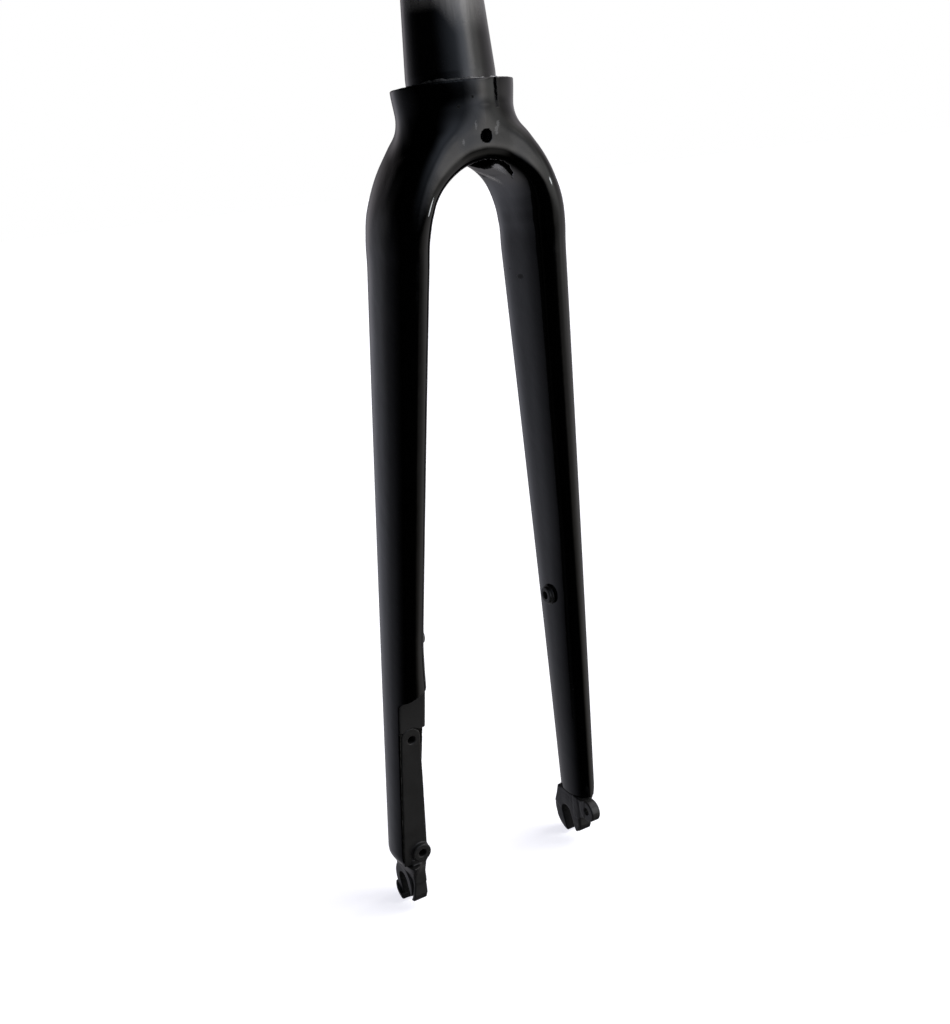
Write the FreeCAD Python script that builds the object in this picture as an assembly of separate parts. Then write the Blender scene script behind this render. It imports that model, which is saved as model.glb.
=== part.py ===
# Bicycle fork for a disc-brake wheel with a quick-release axle.
# Millimetres. +Z up along the steerer, +X forward, +Y to the rider's left.
# The origin is the centre of the crown race seat, at the collar's top face.
import FreeCAD, Part
import math
import os

V = FreeCAD.Vector

# ------------------------------------------------------------ driving sizes
AXLE_TO_CROWN = 407.0      # axle centre to race seat, straight line
RAKE = 48.5                # axle centre in front of the steerer axis
DROPOUT_SPACING = 100.0    # between the dropouts' inner faces
AXLE_SLOT_R = 4.7          # axle slot half width
SLOT_LEAN = 18.0           # slot leans back from the steerer axis, degrees

SEAT_R = 19.9              # crown race seat
SEAT_LEN = 4.0
SOCKET_R = 19.5            # bonded part of the steerer, inside the crown
TAPER_TOP_Z = 91.0         # the steerer is straight above this height
STEM_R = 14.3              # stem clamp part of the steerer
STEERER_TOP_Z = 300.0      # uncut length
STEERER_BOTTOM_Z = -28.8   # end inside the crown socket
BORE_TOP_R = 11.9
BORE_LOW_R = 16.4
BOND_GAP = 0.1             # glue line between bonded pieces

COLLAR_R = 27.2
NECK_R = 26.2
NECK_Z = -13.0
PIVOT_Z = -75.0            # the arch turns about this height
ARCH_TOP_Z = -33.6         # underside of the crown at the middle
ARCH_TILT = 0.07            # the crown's underside rises forward by this slope
CROWN_HOLE_R = 3.05
CROWN_HOLE_Z = -23.5
UNDER_HOLE_R = 11.5        # opening under the crown into the steerer

BLADE_TOP_Z = -60.0        # reference heights of the straight blades
BLADE_LOW_Z = -395.0
BLADE_X = (0.72, 45.52, 0.15)     # section centre, top, bottom, bow
BLADE_Y = (34.55, 57.13, 0.41)
BLADE_A = (22.14, 13.27, -0.23)   # half depth, fore and aft
BLADE_B = (10.50, 6.96, 0.06)     # half width
BLADE_N = (2.38, 2.15)            # roundness of the section
# roundness on the wheel's side, by height
INNER_N = [(-420.0, 2.133), (-310.0, 2.208), (-262.0, 2.42), (-220.0, 2.78), (-160.0, 2.92), (-100.0, 3.12), (-60.0, 3.2), (-50.0, 3.2)]
WALL = 2.5
LEG_END_Z = -389.0

BRAKE_Y = 51.3             # both brake holes lie in one plane beside the rotor
BRAKE_SPACING = 70.0
BRAKE_HOLE_R = 2.1         # M5 tapping drill
BRAKE_HOLE_DEPTH = 11.0
BRAKE_BOSS_R = 5.2
BRAKE_TILT = 5.4           # mounting line from the steerer axis, degrees
BRAKE_TOP = (25.3, -311.7) # upper brake hole, x and z
STRIP_SLOPE = 0.132       # rear face of the tongue, dx per -dz
PAD_STEP = 0.6             # the leg's flat stands this far behind the tongue
TONGUE_T = 5.0
INNER_RELIEF = 3.0

BOSS_X = 26.8              # fender bosses on the inner faces
BOSS_Z = -257.5
BOSS_END_Y = 37.4
BOSS_R = 4.6
BOSS_HOLE_R = 2.1

EYELET_DX, EYELET_DZ = -21.6, 10.3  # from the axle
EYELET_R = 6.2
EYELET_HOLE_R = 2.1

AXLE_Z = -math.sqrt(AXLE_TO_CROWN ** 2 - RAKE ** 2)
INNER_Y = DROPOUT_SPACING / 2


# ------------------------------------------------------------ small helpers
def lerp_table(table, x):
    for (x0, y0), (x1, y1) in zip(table, table[1:]):
        if x <= x1 or (x1, y1) == table[-1]:
            return y0 + (y1 - y0) * (x - x0) / (x1 - x0)


def smooth_table(table, x):
    # monotone cubic through the points of the table
    xs = [p[0] for p in table]
    ys = [p[1] for p in table]
    n = len(xs)
    d = [(ys[i + 1] - ys[i]) / (xs[i + 1] - xs[i]) for i in range(n - 1)]
    m = [0.0] * n
    m[0], m[-1] = d[0], d[-1]
    for i in range(1, n - 1):
        if d[i - 1] * d[i] > 0:
            h0, h1 = xs[i] - xs[i - 1], xs[i + 1] - xs[i]
            w0, w1 = 2 * h1 + h0, h1 + 2 * h0
            m[i] = (w0 + w1) / (w0 / d[i - 1] + w1 / d[i])
    i = 0
    while i < n - 2 and x > xs[i + 1]:
        i += 1
    h = xs[i + 1] - xs[i]
    t = (x - xs[i]) / h
    return ((2 * t ** 3 - 3 * t ** 2 + 1) * ys[i] + (t ** 3 - 2 * t ** 2 + t) * h * m[i]
            + (-2 * t ** 3 + 3 * t ** 2) * ys[i + 1] + (t ** 3 - t ** 2) * h * m[i + 1])


def prism(points, direction):
    face = Part.Face(Part.makePolygon(list(points) + [points[0]]))
    return face.extrude(direction)


def rod(p, d, r, length):
    return Part.makeCylinder(r, length, p, d)


def plate(points, y0, y1):
    # outline in x and z, thickness from y0 to y1
    return prism([V(x, y0, z) for x, z in points], V(0, y1 - y0, 0))


def power(c, n):
    return math.copysign(abs(c) ** (2.0 / n), c)


def closed_curve(points):
    count = len(points)
    curve = Part.BSplineCurve()
    curve.interpolate(Points=points, PeriodicFlag=True,
                      Parameters=[i / count for i in range(count + 1)])
    return curve


def skin(sections):
    # one smooth surface through closed sections, with a flat cap at each end
    curves = [closed_curve(s) for s in sections]
    poles = [c.getPoles() for c in curves]
    mids = [sum(s, V()) / len(s) for s in sections]
    along = [0.0]
    for a, b in zip(mids, mids[1:]):
        along.append(along[-1] + (b - a).Length)
    along = [v / along[-1] for v in along]
    net = []
    for i in range(len(poles[0])):
        line = Part.BSplineCurve()
        line.interpolate(Points=[row[i] for row in poles], Parameters=along)
        net.append(line.getPoles())
    surface = Part.BSplineSurface()
    surface.buildFromPolesMultsKnots(net, curves[0].getMultiplicities(), line.getMultiplicities(),
                                     curves[0].getKnots(), line.getKnots(), True, False, 3, 3)
    faces = [surface.toShape()]
    for c in (curves[0], curves[-1]):
        faces.append(Part.Face(Part.Wire([c.toShape()])))
    shell = Part.makeShell(faces)
    shell.sewShape()
    solid = Part.makeSolid(shell.Shells[0] if shell.Shells else shell)
    if solid.Volume < 0:
        solid.reverse()
    return solid


# ------------------------------------------------------------ blade sections
ROUND = 32


def blade(z):
    t = (z - BLADE_TOP_Z) / (BLADE_LOW_Z - BLADE_TOP_Z)
    bow = 4 * t * (1 - t)
    val = lambda v: v[0] + (v[1] - v[0]) * t + v[2] * bow
    n = BLADE_N[0] + (BLADE_N[1] - BLADE_N[0]) * t
    return val(BLADE_X), val(BLADE_Y), val(BLADE_A), val(BLADE_B), n


def inner_half(z):
    # half width and roundness of a leg on the wheel's side, which is flatter
    xc, yc, a, b, n = blade(z)
    m = smooth_table(INNER_N, z)
    p, q = n / (n - 1), m / (m - 1)
    reach = ((0.46 * a) ** p + (0.887 * b) ** p) ** (1 / p)
    return max(reach ** q - (0.46 * a) ** q, 0.1) ** (1 / q) / 0.887, m


# the inner rear corner of the left leg swells towards the brake mount
SWELL = [(-420.0, 0.0), (-345.0, 0.4), (-320.0, 1.2), (-300.0, 1.7), (-286.0, 1.7), (-270.0, 0.75), (-256.0, 0.05), (-240.0, 0.0), (-60.0, 0.0)]
# the outer corner of the leg's end is turned in
TURN_IN = [(-389.0, 4.2), (-388.0, 2.5), (-386.5, 1.3), (-384.0, 0.3), (-381.0, 0.0), (-60.0, 0.0)]


def blade_points(z, side, inset=0.0, skin=True):
    xc, yc, a, b, n = blade(z)
    swell = smooth_table(SWELL, z) if (skin and side > 0) else 0.0
    turn = smooth_table(TURN_IN, z) * (1.0 if side > 0 else 0.35) if skin else 0.0
    b_in, n_in = inner_half(z)
    out = []
    for i in range(ROUND):
        f = 2 * math.pi * i / ROUND
        h, m = (b_in, n_in) if math.sin(f) < -1e-9 else (b, n)
        x = (a - inset) * power(math.cos(f), m)
        w = (h - inset) * power(math.sin(f), m)
        if w > 0:
            w *= 1 - turn / b
        g = math.exp(-((math.degrees(f) - 232.0) / 33.0) ** 2) * swell
        x += -0.46 * g
        w += -0.887 * g
        out.append(V(xc + x, side * (yc + w), z))
    return out


# arch outline, angle from the middle plane and distance from the pivot
def polar(points):
    return [(math.degrees(math.atan2(y, z - PIVOT_Z)), math.hypot(y, z - PIVOT_Z)) for y, z in points]


OUTER = polar([(0, -8), (14, -11.5), (23, -18.0), (28.3, -24.5), (33.9, -32.0), (38.9, -40.5), (43.1, -50.0), (45.15, -60.0), (46.05, -75.0)])
INNER = polar([(0, ARCH_TOP_Z), (6.8, -34.6), (13.5, -37.7), (19.9, -43.4), (23.2, -49.8), (24.7, -56.0), (25.6, -63.0), (26.88, -75.0)])
DEPTH = [(0, 26.2), (20, 25.8), (40, 24.6), (60, 23.0), (75, 22.1), (90, 21.71)]
CORNER = [(0, 2.95), (25, 2.9), (50, 2.6), (70, 2.42), (90, 2.372)]
CORNER_IN = [(0, 2.95), (25, 3.0), (45, 3.0), (60, 3.0), (75, 3.1), (90, 3.18)]
LEAN = [(0, 0.0), (30, 0.0), (45, 0.15), (60, 0.65), (75, 1.55), (90, 2.76)]


def arch_points(theta):
    th = abs(theta)
    side = 1 if theta >= 0 else -1
    r0, r1 = smooth_table(INNER, th), smooth_table(OUTER, th)
    a, xc = smooth_table(DEPTH, th), smooth_table(LEAN, th)
    rc, b = (r0 + r1) / 2, (r1 - r0) / 2
    n, n_in = smooth_table(CORNER, th), smooth_table(CORNER_IN, th)
    s, c = math.sin(math.radians(th)), math.cos(math.radians(th))
    out = []
    for i in range(ROUND):
        f = 2 * math.pi * i / ROUND
        m = n_in if math.sin(f) < -1e-9 else n
        x = xc + a * power(math.cos(f), m)
        r = rc + b * power(math.sin(f), m)
        # the underside rises towards the front
        r += ARCH_TILT * x * c * (1 - math.sin(f)) / 2
        out.append(V(x, side * r * s, PIVOT_Z + r * c))
    return out


def leg_heights():
    return [-389.0, -388.0, -386.5, -384.0, -380.0, -366.0, -345.0, -320.0, -300.0, -286.0, -270.0, -256.0, -240.0, -200.0, -160.0, -125.0, -95.0]


def outer_skin():
    rows = [blade_points(z, 1) for z in leg_heights()]
    for k in range(-9, 10):
        rows.append(arch_points(-10.0 * k))
    rows += [blade_points(z, -1) for z in reversed(leg_heights())]
    return skin(rows)


def neck():
    # the collar flares into the shoulders
    levels = [(-0.05, COLLAR_R, COLLAR_R), (-6.5, 26.7, 26.7), (NECK_Z, NECK_R, NECK_R + 0.05), (-18.0, 26.1, 27.2), (-23.0, 25.9, 28.6), (-27.0, 25.3, 29.8)]
    rows = []
    for z, a, b in levels:
        rows.append([V(a * math.cos(2 * math.pi * i / ROUND), b * math.sin(2 * math.pi * i / ROUND), z) for i in range(ROUND)])
    return skin(rows)


def cavity(side):
    rows = []
    for z, k in [(-368.0, 1), (-340.0, 1), (-300.0, 1), (-250.0, 1), (-200.0, 1), (-160.0, 1), (-120.0, 1), (-95.0, 1), (-78.0, 0.97), (-68.0, 0.82), (-62.0, 0.55)]:
        xc, yc, a, b, n = blade(z)
        b_in, n_in = inner_half(z)
        pts = []
        for i in range(ROUND):
            f = 2 * math.pi * i / ROUND
            h, m = (b_in, n_in) if math.sin(f) < -1e-9 else (b, n)
            pts.append(V(xc + k * (a - WALL) * power(math.cos(f), m), side * (yc + k * (h - WALL) * power(math.sin(f), m)), z))
        rows.append(pts)
    hollow = skin(rows)
    if side > 0:
        # keep a wall behind the brake mount
        z0, z1 = -278.0, -400.0
        hollow = hollow.cut(plate([(-20, z0 + 8), (strip_x(z0) - 4, z0 + 8), (strip_x(z0) + WALL, z0), (strip_x(z1) + WALL, z1), (-20, z1)], 20, 80))
    return hollow


# ------------------------------------------------------------ dropouts
def at_axle(points):
    return [(RAKE + x, AXLE_Z + z) for x, z in points]


LEAN_S, LEAN_C = math.sin(math.radians(SLOT_LEAN)), math.cos(math.radians(SLOT_LEAN))


def ps(p, s):
    # p forward of the slot's middle, s along the slot towards its mouth
    return (p * LEAN_C - s * LEAN_S, -p * LEAN_S - s * LEAN_C)


PLATE_R = 12.5
SEAT_PAD_R = 10.0
PLATE_OUT_Y = 55.6
SEAT_OUT_Y = 57.9
JAW_OUT_Y = 58.4
LIP_OUT_Y = 59.6


def y_disc(r, y0, y1):
    return rod(V(RAKE, y0, AXLE_Z), V(0, 1, 0), r, y1 - y0)


def slot_cut():
    cut = y_disc(AXLE_SLOT_R, 40, 70)
    box = plate(at_axle([ps(-AXLE_SLOT_R, 0), ps(AXLE_SLOT_R, 0), ps(AXLE_SLOT_R, 30), ps(-AXLE_SLOT_R, 30)]), 40, 70)
    return cut.fuse(box)


def shoulder(turn):
    xc, yc, a, b, n = blade(LEG_END_Z)
    rows = []
    for z, fa, lo, hi in [(LEG_END_Z - BOND_GAP, 0.985, b - 0.15, b - turn - 0.15), (LEG_END_Z - 2.5, 0.96, 6.7, b - turn - 0.7), (LEG_END_Z - 5.0, 0.90, 6.6, 1.6), (LEG_END_Z - 7.5, 0.78, 6.5, 0.2)]:
        pts = []
        for i in range(ROUND):
            f = 2 * math.pi * i / ROUND
            w = power(math.sin(f), n)
            pts.append(V(xc + 0.3 * (LEG_END_Z - z) + fa * a * power(math.cos(f), n), yc + w * (hi if w > 0 else lo), z))
        rows.append(pts)
    return skin(rows)


def dropout_body(turn):
    # left hand; the right one is its mirror image
    y = INNER_Y
    body = y_disc(PLATE_R, y, PLATE_OUT_Y)
    top = LEG_END_Z - BOND_GAP - AXLE_Z
    body = body.fuse(plate(at_axle([(-12.6, top), (8.2, top), (12.1, 3.0), (-12.1, -3.0)]), y, PLATE_OUT_Y))
    # thick rear jaw
    jaw = plate(at_axle([(-13.2, 12.5), (-13.6, 9.5), (-13.5, -3.4), (-11.3, -7.4), ps(-4.0, 10.2), ps(-4.0, 0), (-6.0, 12.5)]), y, JAW_OUT_Y)
    jaw = jaw.cut(y_disc(PLATE_R - 1.2, PLATE_OUT_Y, 70))
    # its outer side leans out towards the bottom
    jaw = jaw.cut(prism([V(0, 55.2, AXLE_Z + 13.0), V(0, JAW_OUT_Y, AXLE_Z - 5.0), V(0, 70, AXLE_Z - 5.0), V(0, 70, AXLE_Z + 13.0)], V(100, 0, 0)))
    body = body.fuse(jaw)
    # raised pad for the quick release
    body = body.fuse(y_disc(SEAT_PAD_R, y, SEAT_OUT_Y))
    # lip at the tip of the front jaw
    lip = y_disc(PLATE_R, y, LIP_OUT_Y).cut(y_disc(SEAT_PAD_R, PLATE_OUT_Y - 2, 70))
    lip = lip.common(plate(at_axle([ps(1, 3.0), ps(20, 1.0), ps(20, 20), ps(1, 20)]), y, 70))
    lip = lip.cut(prism([V(0, LIP_OUT_Y, AXLE_Z - 9.0), V(0, PLATE_OUT_Y, AXLE_Z + 1.0), V(0, 70, AXLE_Z + 1.0), V(0, 70, AXLE_Z - 9.0)], V(100, 0, 0)))
    body = body.fuse(lip)
    # tang that is bonded inside the leg
    body = body.fuse(plate(at_axle([(-11.0, 10), (6.5, 10), (5.5, top + 24), (-12.0, top + 24)]), 52.0, 56.6))
    body = body.fuse(shoulder(turn))
    return body.cut(slot_cut()).removeSplitter()


def strip_x(z):
    return BRAKE_TOP[0] + STRIP_SLOPE * (BRAKE_TOP[1] - z)


BR_S, BR_C = math.sin(math.radians(BRAKE_TILT)), math.cos(math.radians(BRAKE_TILT))
HOLE_1 = V(BRAKE_TOP[0], BRAKE_Y, BRAKE_TOP[1])
HOLE_2 = V(BRAKE_TOP[0] + BRAKE_SPACING * BR_S, BRAKE_Y, BRAKE_TOP[1] - BRAKE_SPACING * BR_C)
INTO = V(BR_C, 0, BR_S)      # into the fork, square to the brake's mounting line
OUT = V(-BR_C, 0, -BR_S)


def tongue_outline(grow):
    # seen from behind, y and z
    pts = [(47.2 - grow, -390.0), (46.4 - grow, -340.0), (46.2 - grow, -313.0)]
    cy, cz, r = 51.6, -310.1, 5.4 + grow
    for i in range(0, 18):
        f = math.radians(180 - 10 * i)
        pts.append((cy + r * math.cos(f), cz + r * math.sin(f)))
    pts += [(57.6 + grow, -318.0), (61.0 + grow, -382.0), (61.0 + grow, -390.0)]
    return pts


def tongue_solid(grow, back, front):
    # the outline swept along x, then trimmed by the two slanting faces
    body = prism([V(0, y, z) for y, z in tongue_outline(grow)], V(70, 0, 0))
    z0, z1 = -290.0, -400.0
    slab = plate([(strip_x(z0) + back, z0), (strip_x(z0) + front, z0), (strip_x(z1) + front, z1), (strip_x(z1) + back, z1)], 30, 80)
    return body.common(slab)


def inner_relief():
    # the leg is cut back beside the tongue on the wheel's side
    z0, z1 = -305.0, -400.0
    return plate([(0, z0), (strip_x(z0) + INNER_RELIEF - 2.0, z0), (strip_x(z0 - 2.5) + INNER_RELIEF, z0 - 2.5), (strip_x(z1) + INNER_RELIEF, z1), (0, z1)], 30, 46.5)


def left_dropout():
    body = dropout_body(TURN_IN[0][1])
    tongue = tongue_solid(0.0, 0.0, TONGUE_T).cut(Part.makeBox(100, 100, 30, V(0, 0, LEG_END_Z - 30 + 0.8)))
    body = body.fuse(tongue)
    # web from the tongue to the jaw, with the shelf above the jaw
    top_z = LEG_END_Z - AXLE_Z
    zt = LEG_END_Z + 3.0
    web = plate([(strip_x(zt), zt), (strip_x(AXLE_Z + 16.5), AXLE_Z + 16.5), (RAKE - 13.6, AXLE_Z + 11.2), (RAKE - 13.5, AXLE_Z + 4.0), (RAKE - 4.0, AXLE_Z + 4.0),
                 (RAKE - 4.0, LEG_END_Z - BOND_GAP), (strip_x(zt) + TONGUE_T, LEG_END_Z - BOND_GAP), (strip_x(zt) + TONGUE_T, zt)], 48.0, 56.4)
    web = web.cut(prism([V(0, 48.0, AXLE_Z + 15.0), V(0, INNER_Y, AXLE_Z + 10.0), V(0, INNER_Y, AXLE_Z), V(0, 40, AXLE_Z), V(0, 40, AXLE_Z + 15.0)], V(100, 0, 0)))
    body = body.fuse(web)
    # screw bosses
    body = body.fuse(rod(HOLE_1 + INTO * 2.0, INTO, 4.4, 11.5))
    body = body.fuse(rod(HOLE_2, INTO, BRAKE_BOSS_R, 13.0))
    for h in (HOLE_1, HOLE_2):
        body = body.cut(rod(h + OUT * 5, INTO, BRAKE_HOLE_R, BRAKE_HOLE_DEPTH + 5))
    return body.removeSplitter()


def right_dropout():
    body = dropout_body(TURN_IN[0][1] * 0.35)
    ex, ez = RAKE + EYELET_DX, AXLE_Z + EYELET_DZ
    top = LEG_END_Z - BOND_GAP
    arm = plate([(ex + 1.2, ez + 6.05), (ex + 3.3, top), (RAKE - 9, top), (RAKE - 9, AXLE_Z + 2.0), (RAKE - 13.4, AXLE_Z + 2.2), (ex + 2.6, ez - 5.6)], INNER_Y, INNER_Y + 5.6)
    ear = rod(V(ex, INNER_Y, ez), V(0, 1, 0), EYELET_R, 5.6)
    body = body.fuse(arm).fuse(ear)
    body = body.cut(rod(V(ex, 40, ez), V(0, 1, 0), EYELET_HOLE_R, 30)).cut(slot_cut())
    return body.removeSplitter().mirror(V(0, 0, 0), V(0, 1, 0))


# ------------------------------------------------------------ fender bosses
def boss_inner_y():
    xc, yc, a, b, n = blade(BOSS_Z)
    b, n = inner_half(BOSS_Z)
    u = abs(BOSS_X - xc) / a
    return yc - b * (1 - u ** n) ** (1 / n)


BOSS_SHANK_R = 3.4
BOSS_SHANK = 6.0
FLANGE_R = 5.5


def fender_boss(side):
    y_in = boss_inner_y()
    d = V(0, 1, 0)
    body = rod(V(BOSS_X, BOSS_END_Y, BOSS_Z), d, BOSS_R, y_in - 0.3 - BOSS_END_Y)
    body = body.fuse(rod(V(BOSS_X, y_in - 1.5, BOSS_Z), d, FLANGE_R, 1.2))
    body = body.fuse(rod(V(BOSS_X, y_in - 1.0, BOSS_Z), d, BOSS_SHANK_R, BOSS_SHANK))
    body = body.cut(rod(V(BOSS_X, BOSS_END_Y - 1, BOSS_Z), d, BOSS_HOLE_R, 20))
    body = body.removeSplitter()
    if side < 0:
        body = body.mirror(V(0, 0, 0), V(0, 1, 0))
    return body


# ------------------------------------------------------------ main pieces
def steerer_tube():
    prof = [(BORE_LOW_R, STEERER_BOTTOM_Z), (SOCKET_R - 0.5, STEERER_BOTTOM_Z), (SOCKET_R, STEERER_BOTTOM_Z + 0.5), (SOCKET_R, 0), (SEAT_R, 0), (SEAT_R, SEAT_LEN), (STEM_R, TAPER_TOP_Z),
            (STEM_R, STEERER_TOP_Z - 0.5), (STEM_R - 0.5, STEERER_TOP_Z), (BORE_TOP_R, STEERER_TOP_Z), (BORE_TOP_R, TAPER_TOP_Z + 4), (BORE_LOW_R, SEAT_LEN + 2)]
    face = Part.Face(Part.makePolygon([V(r, 0, z) for r, z in prof] + [V(prof[0][0], 0, prof[0][1])]))
    tube = face.revolve(V(0, 0, 0), V(0, 0, 1), 360)
    return tube.cut(rod(V(-40, 0, CROWN_HOLE_Z), V(1, 0, 0), CROWN_HOLE_R, 80))


def crown_and_blades():
    body = outer_skin().fuse(neck()).removeSplitter()
    body = body.cut(Part.makeCylinder(SOCKET_R + BOND_GAP, 40, V(0, 0, STEERER_BOTTOM_Z - 0.3), V(0, 0, 1)))
    body = body.cut(Part.makeCylinder(UNDER_HOLE_R, 30, V(0, 0, -55), V(0, 0, 1)))
    body = body.cut(rod(V(-45, 0, CROWN_HOLE_Z), V(1, 0, 0), CROWN_HOLE_R, 90))
    for side in (1, -1):
        body = body.cut(cavity(side))
        # slot for the dropout's tang, open to the hollow of the leg
        g = BOND_GAP
        top = LEG_END_Z - AXLE_Z
        slot = plate(at_axle([(-12.0 - g, 5), (6.7 + g, 5), (5.5 + g, top + 24 + g), (-12.0 - g, top + 24 + g)]), 52.0 - g, 56.6 + g)
        hole = rod(V(BOSS_X, 30, BOSS_Z), V(0, 1, 0), BOSS_SHANK_R + g, 16)
        seat = rod(V(BOSS_X, 30, BOSS_Z), V(0, 1, 0), FLANGE_R + g, boss_inner_y() - 30 + g)
        if side < 0:
            slot = slot.mirror(V(0, 0, 0), V(0, 1, 0))
            hole = hole.mirror(V(0, 0, 0), V(0, 1, 0))
            seat = seat.mirror(V(0, 0, 0), V(0, 1, 0))
        body = body.cut(slot).cut(hole).cut(seat)
    # brake side: flat pad, then the bed of the tongue
    pad = prism([V(0, 36, -284.5), V(0, 43, -285.2), V(0, 50, -286.6), V(0, 57, -289.6), V(0, 66, -295.0), V(0, 66, -306.2), V(0, 36, -306.2)], V(70, 0, 0))
    z0, z1 = -270.0, -340.0
    pad = pad.common(plate([(-10, z0), (strip_x(z0) - PAD_STEP, z0), (strip_x(z1) - PAD_STEP, z1), (-10, z1)], 30, 80))
    body = body.cut(pad)
    body = body.cut(tongue_solid(BOND_GAP, -40.0, TONGUE_T + BOND_GAP))
    body = body.cut(inner_relief())
    z0, z1 = -306.0, -400.0
    body = body.cut(plate([(0, z0), (strip_x(z0), z0), (strip_x(z1), z1), (0, z1)], 30, 80))
    body = body.cut(rod(HOLE_1, INTO, 4.4 + BOND_GAP, 14.0))
    body = body.cut(rod(HOLE_2 + OUT * 6, INTO, BRAKE_BOSS_R + BOND_GAP, 19.0 + BOND_GAP))
    return body


def main():
    os.makedirs("parts", exist_ok=True)
    pieces = {
        "crown_and_blades": crown_and_blades(),
        "steerer_tube": steerer_tube(),
        "left_dropout": left_dropout(),
        "right_dropout": right_dropout(),
        "left_fender_boss": fender_boss(1),
        "right_fender_boss": fender_boss(-1),
    }
    for name, shape in pieces.items():
        if shape.ShapeType == "Compound" and len(shape.Solids) == 1:
            shape = shape.Solids[0]
        box = shape.BoundBox
        print(name, shape.ShapeType, len(shape.Solids), "valid", shape.isValid(), "volume cm3 %.2f" % (shape.Volume / 1000),
              "x %.1f %.1f y %.1f %.1f z %.1f %.1f" % (box.XMin, box.XMax, box.YMin, box.YMax, box.ZMin, box.ZMax))
        shape.exportStep("parts/%s.step" % name)


main()
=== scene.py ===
import math

import bpy
import numpy as np
from mathutils import Matrix, Vector


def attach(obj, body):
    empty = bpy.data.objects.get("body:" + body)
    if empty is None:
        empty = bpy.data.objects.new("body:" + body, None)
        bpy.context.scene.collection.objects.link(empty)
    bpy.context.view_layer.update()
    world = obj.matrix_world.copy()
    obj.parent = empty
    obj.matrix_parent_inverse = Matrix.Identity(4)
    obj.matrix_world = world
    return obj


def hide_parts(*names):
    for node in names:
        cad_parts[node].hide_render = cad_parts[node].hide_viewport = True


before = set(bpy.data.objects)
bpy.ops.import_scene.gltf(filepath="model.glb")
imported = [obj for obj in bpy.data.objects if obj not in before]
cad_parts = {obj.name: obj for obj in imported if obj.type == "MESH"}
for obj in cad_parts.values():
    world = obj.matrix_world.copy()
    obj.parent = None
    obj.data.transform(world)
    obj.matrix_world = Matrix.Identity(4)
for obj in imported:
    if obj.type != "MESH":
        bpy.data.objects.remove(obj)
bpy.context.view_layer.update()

rng = np.random.default_rng(7)

# ---------------------------------------------------------------- sizes, mm
RAKE = 48.5
AXLE_Z = -math.sqrt(407.0 ** 2 - RAKE ** 2)
PIVOT_Z = -75.0
ARCH_TOP_Z = -33.6
ARCH_TILT = 0.07
LEG_END_Z = -389.0
BLADE_TOP_Z, BLADE_LOW_Z = -60.0, -395.0
BLADE_X = (0.72, 45.52, 0.15)
BLADE_Y = (34.55, 57.13, 0.41)
BLADE_A = (22.14, 13.27, -0.23)
BLADE_B = (10.50, 6.96, 0.06)
BLADE_N = (2.38, 2.15)
BRAKE_Y = 51.3
BRAKE_TOP = (25.3, -311.7)
STRIP_SLOPE = 0.132
PAD_STEP = 0.6
BOSS_X, BOSS_Z, BOSS_END_Y = 26.8, -257.5, 37.4
CROWN_HOLE_R, CROWN_HOLE_Z = 2.55, -23.5
UNDER_HOLE = [(-20.0, 9.0), (-21.5, 4.5), (-22.1, 0.0), (-22.2, -5.0), (-22.1, -9.0), (-21.5, -12.4), (-18.6, -15.8), (-14.2, -18.0), (-15.6, -16.3), (-17.0, -13.8),
              (-18.0, -11.4), (-19.0, -9.0), (-18.5, -7.2), (-13.0, -8.8), (-9.0, -10.6), (-5.0, -11.5), (0.0, -12.0), (5.0, -11.0), (9.0, -8.2), (11.0, -4.0), (11.5, 0.0),
              (11.0, 4.0), (8.0, 8.0), (3.0, 10.6), (-3.0, 11.2), (-9.0, 10.4), (-15.0, 10.0)]
INNER_Y = 50.0
SLOT_R = 4.7
SLOT_S, SLOT_C = math.sin(math.radians(18.0)), math.cos(math.radians(18.0))
BR_S, BR_C = math.sin(math.radians(5.4)), math.cos(math.radians(5.4))
HOLE_1 = np.array([BRAKE_TOP[0], BRAKE_Y, BRAKE_TOP[1]])
HOLE_2 = np.array([BRAKE_TOP[0] + 70.0 * BR_S, BRAKE_Y, BRAKE_TOP[1] - 70.0 * BR_C])
INTO = np.array([BR_C, 0.0, BR_S])


# ---------------------------------------------------------------- tables
def table_values(table, x):
    # monotone cubic through the points of the table
    xs = np.array([p[0] for p in table], float)
    ys = np.array([p[1] for p in table], float)
    h = np.diff(xs)
    d = np.diff(ys) / h
    m = np.zeros(len(xs))
    m[0], m[-1] = d[0], d[-1]
    for i in range(1, len(xs) - 1):
        if d[i - 1] * d[i] > 0:
            w0, w1 = 2 * h[i] + h[i - 1], h[i] + 2 * h[i - 1]
            m[i] = (w0 + w1) / (w0 / d[i - 1] + w1 / d[i])
    i = np.clip(np.searchsorted(xs, x, side="right") - 1, 0, len(xs) - 2)
    t = (x - xs[i]) / h[i]
    return ((2 * t ** 3 - 3 * t ** 2 + 1) * ys[i] + (t ** 3 - 2 * t ** 2 + t) * h[i] * m[i]
            + (-2 * t ** 3 + 3 * t ** 2) * ys[i + 1] + (t ** 3 - t ** 2) * h[i] * m[i + 1])


class Table:
    def __init__(self, points, lo, hi, n=2000):
        self.x = np.linspace(lo, hi, n)
        self.y = table_values(points, self.x)

    def __call__(self, x):
        return np.interp(x, self.x, self.y)


def polar(points):
    return [(math.degrees(math.atan2(y, z - PIVOT_Z)), math.hypot(y, z - PIVOT_Z)) for y, z in points]


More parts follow.
